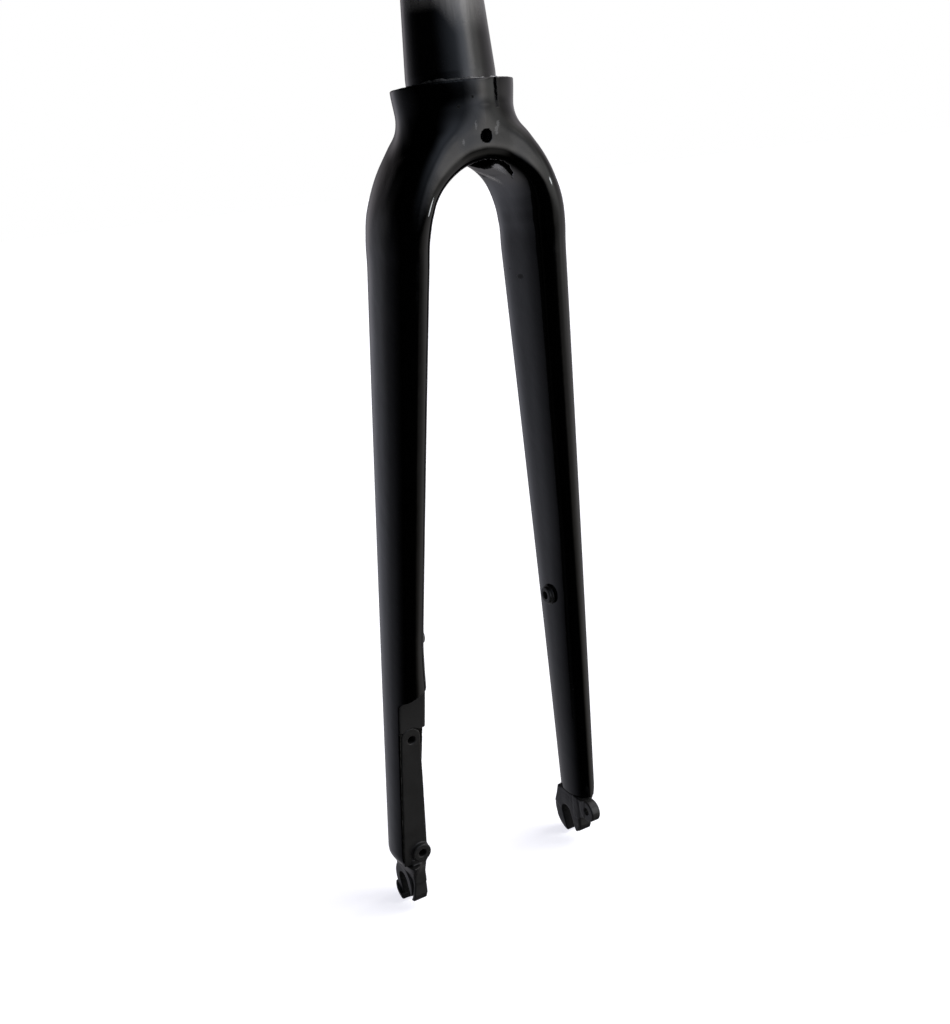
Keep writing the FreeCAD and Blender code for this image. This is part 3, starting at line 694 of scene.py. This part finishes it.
def fender_boss(side):
    yi = boss_inner_y()
    prof = [(2.1, 0.0), (2.5, -0.05), (4.6, 0.0), (4.6, yi - 1.5 - BOSS_END_Y), (5.5, yi - 1.5 - BOSS_END_Y), (5.5, yi - 0.3 - BOSS_END_Y), (3.4, yi - 0.3 - BOSS_END_Y), (3.4, yi + 5.0 - BOSS_END_Y), (2.1, yi + 5.0 - BOSS_END_Y)]
    prof[1] = (3.0, 0.0)
    radii = [0.35, 0, 0.6, 0.5, 0.35, 0.3, 0, 0, 0]
    v = rounded(prof, radii, 4)
    name = ("left" if side > 0 else "right") + "_fender_boss_turned"
    if side > 0:
        return lathe(name, v, 72, (BOSS_X, BOSS_END_Y, BOSS_Z), "+Y")
    return lathe(name, v, 72, (BOSS_X, -BOSS_END_Y, BOSS_Z), "-Y")


# ---------------------------------------------------------------- materials
class Nodes:
    def __init__(self, name):
        self.mat = bpy.data.materials.new(name)
        self.mat.use_nodes = True
        self.tree = self.mat.node_tree
        self.bsdf = self.tree.nodes["Principled BSDF"]
        self.out = self.tree.nodes["Material Output"]
        self.pos = self.new("ShaderNodeTexCoord").outputs["Object"]

    def new(self, kind, **props):
        n = self.tree.nodes.new(kind)
        for k, v in props.items():
            setattr(n, k, v)
        return n

    def link(self, a, b):
        self.tree.links.new(a, b)

    def noise(self, scale, detail=3.0, rough=0.5, vector=None, stretch=None):
        n = self.new("ShaderNodeTexNoise")
        n.inputs["Scale"].default_value = scale
        n.inputs["Detail"].default_value = detail
        n.inputs["Roughness"].default_value = rough
        v = vector or self.pos
        if stretch:
            m = self.new("ShaderNodeMapping")
            m.inputs["Scale"].default_value = stretch
            self.link(v, m.inputs["Vector"])
            v = m.outputs["Vector"]
        self.link(v, n.inputs["Vector"])
        return n.outputs["Fac"]

    def ramp(self, value, stops):
        n = self.new("ShaderNodeValToRGB")
        e = n.color_ramp.elements
        while len(e) < len(stops):
            e.new(0.5)
        for s, (p, c) in zip(e, stops):
            s.position = p
            s.color = (c, c, c, 1) if not isinstance(c, tuple) else (*c, 1)
        self.link(value, n.inputs["Fac"])
        return n.outputs["Color"]

    def range(self, value, a, b, c, d, smooth=False):
        n = self.new("ShaderNodeMapRange")
        if smooth:
            n.interpolation_type = "SMOOTHSTEP"
        for i, v in zip(("From Min", "From Max", "To Min", "To Max"), (a, b, c, d)):
            n.inputs[i].default_value = v
        self.link(value, n.inputs["Value"])
        return n.outputs["Result"]

    def math(self, op, a, b=None):
        n = self.new("ShaderNodeMath", operation=op)
        for s, v in zip(n.inputs, (a, b)):
            if v is None:
                continue
            if isinstance(v, (int, float)):
                s.default_value = v
            else:
                self.link(v, s)
        return n.outputs[0]

    def mix(self, fac, a, b):
        n = self.new("ShaderNodeMix", data_type="RGBA")
        for s, v in ((n.inputs[0], fac), (n.inputs[6], a), (n.inputs[7], b)):
            if isinstance(v, tuple):
                s.default_value = (*v, 1)
            elif isinstance(v, (int, float)):
                s.default_value = v if s == n.inputs[0] else (v, v, v, 1)
            else:
                self.link(v, s)
        return n.outputs[2]

    def bump(self, height, strength, distance, normal=None):
        n = self.new("ShaderNodeBump")
        n.inputs["Strength"].default_value = strength
        n.inputs["Distance"].default_value = distance
        self.link(height, n.inputs["Height"])
        if normal is not None:
            self.link(normal, n.inputs["Normal"])
        return n.outputs["Normal"]

    def axes(self):
        # x, y and z of the surface, mm
        n = self.new("ShaderNodeSeparateXYZ")
        self.link(self.pos, n.inputs[0])
        return [self.math("MULTIPLY", o, 1000.0) for o in n.outputs]

    def all_of(self, *masks):
        out = masks[0]
        for k in masks[1:]:
            out = self.math("MULTIPLY", out, k)
        return out

    def specks(self, scale, size, share):
        # small dots, only in some of the cells
        v = self.new("ShaderNodeTexVoronoi")
        v.inputs["Scale"].default_value = scale
        self.link(self.pos, v.inputs["Vector"])
        near = self.range(v.outputs["Distance"], size * 0.5, size, 1.0, 0.0)
        s = self.new("ShaderNodeSeparateColor")
        self.link(v.outputs["Color"], s.inputs["Color"])
        pick = self.math("LESS_THAN", s.outputs[0], share)
        return self.math("MULTIPLY", near, pick)


def lacquer():
    m = Nodes("gloss_lacquer")
    dust = m.specks(220.0, 0.09, 0.05)
    cloud = m.noise(18.0, 4.0, 0.6)
    base = m.mix(cloud, (0.0001, 0.0001, 0.0001), (0.0003, 0.0003, 0.0003))
    base = m.mix(dust, base, (0.010, 0.010, 0.010))
    smear = m.noise(60.0, 5.0, 0.65, stretch=(1, 1, 0.35))
    rough = m.range(smear, 0.3, 0.75, 0.05, 0.09)
    # the torn flap under the crown: its pale patch is painted light, standing in for the lit wall of the opening
    x, y, z = m.axes()
    tear = m.math("SUBTRACT", m.noise(330.0, 4.0, 0.7), 0.5)
    tip, root = (-18.6, -7.6), (-10.5, -14.0)
    run = (root[0] - tip[0], root[1] - tip[1])
    size = math.hypot(*run)
    dx, dy = m.math("SUBTRACT", x, tip[0]), m.math("SUBTRACT", y, tip[1])
    along = m.math("DIVIDE", m.math("ADD", m.math("MULTIPLY", dx, run[0] / size), m.math("MULTIPLY", dy, run[1] / size)), size)
    aside = m.math("ABSOLUTE", m.math("SUBTRACT", m.math("MULTIPLY", dx, run[1] / size), m.math("MULTIPLY", dy, run[0] / size)))
    aside = m.math("ADD", aside, m.math("MULTIPLY", tear, 3.5))
    geo = m.new("ShaderNodeSeparateXYZ")
    m.link(m.new("ShaderNodeNewGeometry").outputs["Normal"], geo.inputs[0])
    down = m.range(geo.outputs[2], -0.75, -0.45, 1.0, 0.0)
    flap_painted_light = m.all_of(down, m.range(aside, 2.2, 3.8, 1.0, 0.0), m.range(along, 0.35, 1.1, 1.0, 0.0), m.range(along, -0.14, -0.04, 0.0, 1.0), m.range(z, -32.0, -31.0, 1.0, 0.0))
    # painted light: the flap's wall is paled where light falls on it
    base = m.mix(m.math("MULTIPLY", flap_painted_light, m.range(tear, -0.22, 0.05, 0.3, 1.0)), base, (0.17, 0.17, 0.175))
    rough = m.mix(flap_painted_light, rough, 0.5)
    # bare and dull inside the socket and the opening
    rad = m.math("POWER", m.math("ADD", m.math("MULTIPLY", x, x), m.math("MULTIPLY", y, y)), 0.5)
    inside = m.all_of(m.range(rad, 22.9, 23.2, 1.0, 0.0), m.range(z, -41.0, -40.0, 0.0, 1.0), m.range(geo.outputs[2], -0.8, -0.65, 0.0, 1.0), m.range(z, -3.0, -2.0, 1.0, 0.0))
    rough = m.mix(inside, rough, 0.95)
    # a painted highlight: a pale line along the bend of the skin beside the opening
    bend = m.math("SUBTRACT", y, m.math("ADD", m.math("MULTIPLY", x, 0.30), -19.5))
    bend = m.math("ABSOLUTE", m.math("ADD", bend, m.math("MULTIPLY", tear, 0.8)))
    crease_painted_highlight = m.all_of(m.range(bend, 0.4, 1.7, 1.0, 0.0), m.range(x, -2.0, 4.0, 0.0, 1.0), m.range(x, 15.0, 17.0, 1.0, 0.0), m.range(z, -47.0, -46.0, 0.0, 1.0), m.range(z, -36.0, -35.0, 1.0, 0.0), m.range(geo.outputs[2], -0.3, -0.2, 1.0, 0.0))
    base = m.mix(crease_painted_highlight, base, (0.13, 0.125, 0.12))
    # the seat above the brake tongue is satin
    seat = m.all_of(m.range(y, 34.0, 36.0, 0.0, 1.0), m.range(x, 17.0, 19.5, 0.0, 1.0), m.range(z, -307.0, -306.4, 0.0, 1.0), m.range(z, -286.0, -283.0, 1.0, 0.0),
                    m.range(geo.outputs[0], -0.9, -0.6, 1.0, 0.0))
    base = m.mix(seat, base, m.mix(m.range(z, -304.0, -287.0, 0.0, 1.0), (0.0075, 0.0073, 0.0071), (0.0055, 0.0054, 0.0053)))
    rough = m.mix(seat, rough, 0.36)
    # smudges and pits on the back of the crown
    behind = m.range(x, -20.0, -18.0, 1.0, 0.0)
    grit = m.math("SUBTRACT", m.noise(1100.0, 3.0, 0.6), 0.5)
    for cy, cz, wide, tall, kind in ((-6.3, -19.0, 0.9, 1.6, 1), (-5.2, -21.6, 0.8, 1.9, 1), (4.6, -18.6, 0.5, 1.5, 1), (11.2, -25.2, 0.6, 1.2, 1), (10.9, -10.8, 0.85, 0.85, 0), (4.8, -7.3, 0.6, 0.7, 0)):
        uy = m.math("DIVIDE", m.math("SUBTRACT", y, cy), wide)
        uz = m.math("DIVIDE", m.math("SUBTRACT", z, cz), tall)
        spot = m.math("ADD", m.math("MULTIPLY", uy, uy), m.math("MULTIPLY", uz, uz))
        if kind:
            spot = m.math("ADD", spot, m.math("MULTIPLY", grit, 5.0))
        spot = m.all_of(behind, m.range(spot, 0.2, 1.4, 1.0, 0.0), m.range(z, -28.0, -27.0, 0.0, 1.0))
        if kind:
            base = m.mix(spot, base, (0.040, 0.040, 0.040))
        else:
            rough = m.mix(spot, rough, 0.9)
    # a dull round spot on the wheel side of the right leg
    ux, uz = m.math("DIVIDE", m.math("SUBTRACT", x, 3.8), 2.2), m.math("ADD", z, 87.1)
    dull = m.math("POWER", m.math("ADD", m.math("MULTIPLY", ux, ux), m.math("MULTIPLY", uz, uz)), 0.5)
    dull = m.all_of(m.range(dull, 0.6, 2.4, 0.8, 0.0, True), m.range(y, -33.0, -32.0, 0.0, 1.0), m.range(y, -20.0, -19.0, 1.0, 0.0))
    rough = m.mix(dull, rough, 0.7)
    # dull edges of the crack
    split = m.math("ABSOLUTE", m.math("ADD", m.math("SUBTRACT", y, m.math("MULTIPLY", z, 0.028)), 6.75))
    split = m.all_of(m.range(split, 0.95, 1.25, 1.0, 0.0), m.range(z, -13.0, -12.0, 0.0, 1.0), m.range(x, -12.0, -10.0, 1.0, 0.0))
    rough = m.mix(split, rough, 0.8)
    m.link(base, m.bsdf.inputs["Base Color"])
    m.link(rough, m.bsdf.inputs["Roughness"])
    m.bsdf.inputs["IOR"].default_value = 1.5
    flow = m.noise(55.0, 2.0, 0.5)
    peel = m.noise(520.0, 2.0, 0.5)
    n = m.bump(flow, 0.10, 0.002)
    n = m.bump(peel, 0.05, 0.0003, n)
    m.link(n, m.bsdf.inputs["Normal"])
    return m.mat


def steerer_metal():
    m = Nodes("dark_anodised_tube")
    x, y, z = m.axes()
    mottle = m.noise(70.0, 6.0, 0.7)
    band = m.noise(12.0, 3.0, 0.5, stretch=(1, 1, 0.2))
    base = m.mix(mottle, (0.0002, 0.0002, 0.0002), (0.0007, 0.0007, 0.0008))
    base = m.mix(m.range(band, 0.4, 0.7, 0.0, 0.5), base, (0.0006, 0.0007, 0.0009))
    # duller and paler higher up, its own tone; the paling that starts lower on the right is painted light from the
    # right-front
    low = m.range(y, 5.0, 12.0, 17.0, 27.5, True)
    tall = m.math("ADD", z, m.math("MULTIPLY", m.math("SUBTRACT", band, 0.5), 4.0))
    up = m.range(m.math("DIVIDE", m.math("SUBTRACT", tall, low), m.math("SUBTRACT", 34.0, low)), 0.0, 1.0, 0.0, 1.0, True)
    up = m.math("MULTIPLY", up, m.range(y, 6.0, 14.0, 1.0, 0.35, True))
    up = m.math("MULTIPLY", up, m.range(y, -13.0, -3.0, 0.45, 1.0, True))
    up = m.math("MAXIMUM", up, m.range(z, 33.0, 75.0, 0.0, 1.0, True))
    # fine upright streaks in the pale part
    streak = m.noise(420.0, 4.0, 0.65, stretch=(1, 1, 0.07))
    pale = m.mix(m.range(streak, 0.36, 0.64, 0.0, 1.0), (0.066, 0.064, 0.062), (0.102, 0.099, 0.096))
    # pale tone higher up, plus painted light on the side towards the right-front
    base = m.mix(up, base, pale)
    # dull smear just above the glue
    smear = m.all_of(m.range(z, 1.0, 7.5, 1.0, 0.0, True), m.range(mottle, 0.36, 0.62, 0.0, 1.0), m.range(y, -2.0, 5.0, 1.0, 0.0))
    base = m.mix(smear, base, (0.020, 0.020, 0.021))
    m.link(base, m.bsdf.inputs["Base Color"])
    m.bsdf.inputs["Metallic"].default_value = 0.0
    m.bsdf.inputs["IOR"].default_value = 1.7
    rough = m.range(mottle, 0.3, 0.75, 0.11, 0.20)
    rough = m.math("ADD", rough, m.math("MULTIPLY", up, 0.12))
    # dull bore
    rad = m.math("POWER", m.math("ADD", m.math("MULTIPLY", x, x), m.math("MULTIPLY", y, y)), 0.5)
    wall = m.math("ADD", rad, m.math("MULTIPLY", z, 0.055))
    m.link(m.mix(m.range(wall, 17.9, 18.2, 1.0, 0.0), rough, 0.95), m.bsdf.inputs["Roughness"])
    fine = m.noise(900.0, 2.0, 0.6, stretch=(1, 1, 6.0))
    m.link(m.bump(fine, 0.12, 0.0003), m.bsdf.inputs["Normal"])
    return m.mat


def dropout_metal(name, gloss):
    m = Nodes(name)
    blotch = m.noise(90.0, 5.0, 0.65)
    base = m.mix(blotch, (0.0040, 0.0039, 0.0038), (0.0085, 0.0083, 0.0080))
    # the walls of the axle slot are dull, and darkened with painted shade
    x, y, z = m.axes()
    dx, dz = m.math("SUBTRACT", x, RAKE), m.math("SUBTRACT", z, AXLE_Z)
    over = m.math("SUBTRACT", m.math("MULTIPLY", dx, SLOT_C), m.math("MULTIPLY", dz, SLOT_S))
    down = m.math("MAXIMUM", m.math("ADD", m.math("MULTIPLY", dx, SLOT_S), m.math("MULTIPLY", dz, SLOT_C)), 0.0)
    near = m.math("POWER", m.math("ADD", m.math("MULTIPLY", over, over), m.math("MULTIPLY", down, down)), 0.5)
    wall = m.range(near, SLOT_R + 0.1, SLOT_R + 0.6, 1.0, 0.0)
    base = m.mix(wall, base, (0.0008, 0.0008, 0.0008))
    m.link(base, m.bsdf.inputs["Base Color"])
    m.bsdf.inputs["Metallic"].default_value = 0.0
    m.link(m.mix(wall, m.range(blotch, 0.3, 0.75, gloss, gloss + 0.14), 0.95), m.bsdf.inputs["Roughness"])
    grain = m.noise(1500.0, 3.0, 0.6)
    m.link(m.bump(grain, 0.18, 0.0003), m.bsdf.inputs["Normal"])
    return m.mat


def glue():
    m = Nodes("hard_glue")
    cloud = m.noise(160.0, 5.0, 0.7)
    x, y, z = m.axes()
    pale = m.mix(m.range(cloud, 0.4, 0.7, 0.0, 1.0), (0.10, 0.10, 0.102), (0.34, 0.34, 0.345))
    dark = m.mix(m.range(cloud, 0.4, 0.7, 0.0, 1.0), (0.004, 0.004, 0.004), (0.03, 0.03, 0.031))
    # pale towards the right of the bead and dark towards the left: painted light and painted shade over the glue's
    # cloudy tone
    m.link(m.mix(m.range(m.math("ADD", y, m.math("MULTIPLY", m.math("SUBTRACT", cloud, 0.5), 8.0)), 6.0, -10.0, 0.0, 1.0, True), dark, pale), m.bsdf.inputs["Base Color"])
    m.link(m.range(cloud, 0.3, 0.7, 0.14, 0.4), m.bsdf.inputs["Roughness"])
    m.link(m.bump(m.noise(700.0, 3.0, 0.6), 0.3, 0.0004), m.bsdf.inputs["Normal"])
    return m.mat


# ---------------------------------------------------------------- build
LACQUER = lacquer()
GLUE = glue()
STEEL = steerer_metal()
DROPOUT = dropout_metal("satin_black_paint", 0.30)
BOSS = dropout_metal("satin_black_boss", 0.22)

pieces = [
    (crown_and_blades(), "crown_and_blades", "lacquer", LACQUER),
    (steerer(), "steerer_tube", "steerer_metal", STEEL),
    (bond_bead(), "steerer_tube", "steerer_metal", GLUE),
    (field_piece("left_dropout_cast", left_dropout_field, (22.0, 44.0, -419.0), (63.0, 64.0, -302.0), 0.5), "left_dropout", "dropout_metal", DROPOUT),
    (field_piece("right_dropout_cast", right_dropout_field, (18.0, -65.0, -419.0), (63.0, -47.0, -386.0), 0.42), "right_dropout", "dropout_metal", DROPOUT),
    (fender_boss(1), "left_fender_boss", "boss_metal", BOSS),
    (fender_boss(-1), "right_fender_boss", "boss_metal", BOSS),
]
for ob, node, slot, mat in pieces:
    ob.data.materials.append(mat)
    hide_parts(node)
    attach(ob, "root")
    print("piece", ob.name, "triangles", sum(len(q.vertices) - 2 for q in ob.data.polygons))
for node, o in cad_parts.items():
    mat = {"crown_and_blades": LACQUER, "steerer_tube": STEEL, "left_dropout": DROPOUT, "right_dropout": DROPOUT}.get(node, BOSS)
    for s in o.material_slots:
        s.material = mat

# ---------------------------------------------------------------- stage
FLOOR_Z = -0.4185


def floor_material():
    m = Nodes("pale_floor")
    tone = m.noise(1.5, 2.0, 0.5)
    m.link(m.mix(tone, (0.30, 0.30, 0.29), (0.32, 0.32, 0.31)), m.bsdf.inputs["Base Color"])
    # pale glow, so that the shadows stay faint
    m.bsdf.inputs["Emission Color"].default_value = (0.76, 0.76, 0.82, 1.0)
    m.bsdf.inputs["Emission Strength"].default_value = 1.0
    m.bsdf.inputs["Roughness"].default_value = 0.9
    m.bsdf.inputs["Specular IOR Level"].default_value = 0.1
    return m.mat


half = 30.0
me = bpy.data.meshes.new("floor")
me.from_pydata([(-half, -half, FLOOR_Z), (half, -half, FLOOR_Z), (half, half, FLOOR_Z), (-half, half, FLOOR_Z)], [], [(0, 1, 2, 3)])
floor = bpy.data.objects.new("floor", me)
bpy.context.scene.collection.objects.link(floor)
me.materials.append(floor_material())

# ---------------------------------------------------------------- camera
CAM = np.array([-474.9, 259.9, -37.0])
YAW, PITCH, ROLL, FOCAL = math.radians(-27.49), math.radians(16.27), math.radians(-6.67), 1162.1
f = np.array([math.cos(YAW) * math.cos(PITCH), math.sin(YAW) * math.cos(PITCH), -math.sin(PITCH)])
r = np.cross(f, (0, 0, 1))
r /= np.linalg.norm(r)
u = np.cross(r, f)
r2, u2 = math.cos(ROLL) * r + math.sin(ROLL) * u, -math.sin(ROLL) * r + math.cos(ROLL) * u
cam_data = bpy.data.cameras.new("camera")
cam_data.sensor_fit = "AUTO"
cam_data.sensor_width = 36.0
cam_data.lens = FOCAL * 36.0 / 1024.0
cam_data.clip_start = 0.01
cam = bpy.data.objects.new("camera", cam_data)
bpy.context.scene.collection.objects.link(cam)
cam.matrix_world = Matrix(((r2[0], u2[0], -f[0], CAM[0] * 0.001), (r2[1], u2[1], -f[1], CAM[1] * 0.001), (r2[2], u2[2], -f[2], CAM[2] * 0.001), (0, 0, 0, 1)))
bpy.context.scene.camera = cam

# ---------------------------------------------------------------- light
# Soft lights round the fork: azimuth from the camera's side, height, width, strength, tint.
LIGHTS = [
    (119, 48, 24, 1.76, (1.02, 0.97, 1.01)),
    (35, 42, 36, 0.60, (0.86, 0.97, 1.17)),
    (149, 3, 40, 0.42, (1.01, 0.97, 1.02)),
    (103, -19, 25, 0.58, (1.02, 0.99, 0.99)),
    (81, 29, 20, 0.95, (1.04, 1.00, 0.96)),
    (62, 22, 10, 2.80, (1.03, 1.00, 0.97)),
    (46, 4, 16, 1.04, (0.94, 0.98, 1.08)),
    (-158, -48, 26, 0.28, (1.02, 0.98, 1.00)),
    (77, -5, 14, 1.06, (1.00, 1.01, 0.99)),
    (-117, -28, 31, 0.20, (0.94, 0.96, 1.10)),
    (59, -5, 10, 1.52, (1.04, 1.00, 0.96)),
    (-142, -8, 20, 0.38, (0.94, 0.96, 1.10)),
    (77, -37, 16, 0.30, (1.05, 1.01, 0.94)),
    (-146, 8, 13, 0.32, (1.05, 0.96, 0.99)),
    (-121, 8, 14, 0.09, (1.00, 0.98, 1.02)),
    (63, -26, 7, 0.14, (1.02, 1.00, 0.98)),
]
world = bpy.data.worlds.new("studio")
bpy.context.scene.world = world
world.use_nodes = True
wt = world.node_tree
wt.nodes.clear()


def wnode(kind, **props):
    n = wt.nodes.new(kind)
    for k, v in props.items():
        setattr(n, k, v)
    return n


side = math.atan2(CAM[1], CAM[0])
view_dir = wnode("ShaderNodeTexCoord").outputs["Generated"]
total = None
for az, el, wide, strength, tint in LIGHTS:
    az, el = side + math.radians(az), math.radians(el)
    dot = wnode("ShaderNodeVectorMath", operation="DOT_PRODUCT")
    wt.links.new(view_dir, dot.inputs[0])
    dot.inputs[1].default_value = (math.cos(el) * math.cos(az), math.cos(el) * math.sin(az), math.sin(el))
    sharp = 1.0 / (1.0 - math.cos(math.radians(wide)))
    fall = wnode("ShaderNodeMath", operation="MULTIPLY_ADD")
    wt.links.new(dot.outputs["Value"], fall.inputs[0])
    fall.inputs[1].default_value, fall.inputs[2].default_value = sharp, -sharp
    soft = wnode("ShaderNodeMath", operation="EXPONENT")
    wt.links.new(fall.outputs[0], soft.inputs[0])
    # each light ends at its edge
    edge = wnode("ShaderNodeMath", operation="MULTIPLY_ADD", use_clamp=True)
    wt.links.new(soft.outputs[0], edge.inputs[0])
    edge.inputs[1].default_value, edge.inputs[2].default_value = 1.06, -0.06
    scale = wnode("ShaderNodeVectorMath", operation="SCALE")
    scale.inputs[0].default_value = [strength * t for t in tint]
    wt.links.new(edge.outputs[0], scale.inputs["Scale"])
    if total is None:
        total = scale.outputs["Vector"]
    else:
        both = wnode("ShaderNodeVectorMath", operation="ADD")
        wt.links.new(total, both.inputs[0])
        wt.links.new(scale.outputs["Vector"], both.inputs[1])
        total = both.outputs["Vector"]
cards = wnode("ShaderNodeBackground")
wt.links.new(total, cards.inputs["Color"])
white = wnode("ShaderNodeBackground")
white.inputs["Color"].default_value = (1, 1, 1, 1)
seen = wnode("ShaderNodeLightPath")
mix = wnode("ShaderNodeMixShader")
wt.links.new(seen.outputs["Is Camera Ray"], mix.inputs[0])
wt.links.new(cards.outputs[0], mix.inputs[1])
wt.links.new(white.outputs[0], mix.inputs[2])
wt.links.new(mix.outputs[0], wnode("ShaderNodeOutputWorld").inputs["Surface"])

# broad overhead light for the floor
lamp = bpy.data.lights.new("overhead", "SUN")
lamp.angle = math.radians(50.0)
lamp.energy = 4.8
over = bpy.data.objects.new("overhead", lamp)
over.location = (0.3, 0.0, 1.3)
over.rotation_mode = "QUATERNION"
over.rotation_quaternion = Vector((0.50, 0.75, -1.0)).to_track_quat("-Z", "Y")
over.visible_glossy = False
bpy.context.scene.collection.objects.link(over)
floor.visible_glossy = False
# two small lamps that glint on the edges of the arch
for name, point, way, size, spread, watts in (("glint_left", (-23.8, 29.4, -50.6), (-0.62, -0.69, -0.362), 0.010, 14.0, 2.4e-5),
                                              ("glint_right", (-24.4, -31.2, -45.0), (-0.62, -0.77, -0.115), 0.006, 10.0, 4.4e-6)):
    lamp = bpy.data.lights.new(name, "AREA")
    lamp.shape = "DISK"
    lamp.size = size
    lamp.spread = math.radians(spread)
    lamp.energy = watts
    lamp.color = (0.93, 0.98, 1.0)
    small = bpy.data.objects.new(name, lamp)
    way = Vector(way).normalized()
    small.location = Vector(point) * 0.001 + way * 0.042
    small.rotation_mode = "QUATERNION"
    small.rotation_quaternion = (-way).to_track_quat("-Z", "Y")
    small.visible_camera = False
    bpy.context.scene.collection.objects.link(small)
bpy.context.scene.view_settings.view_transform = "Standard"
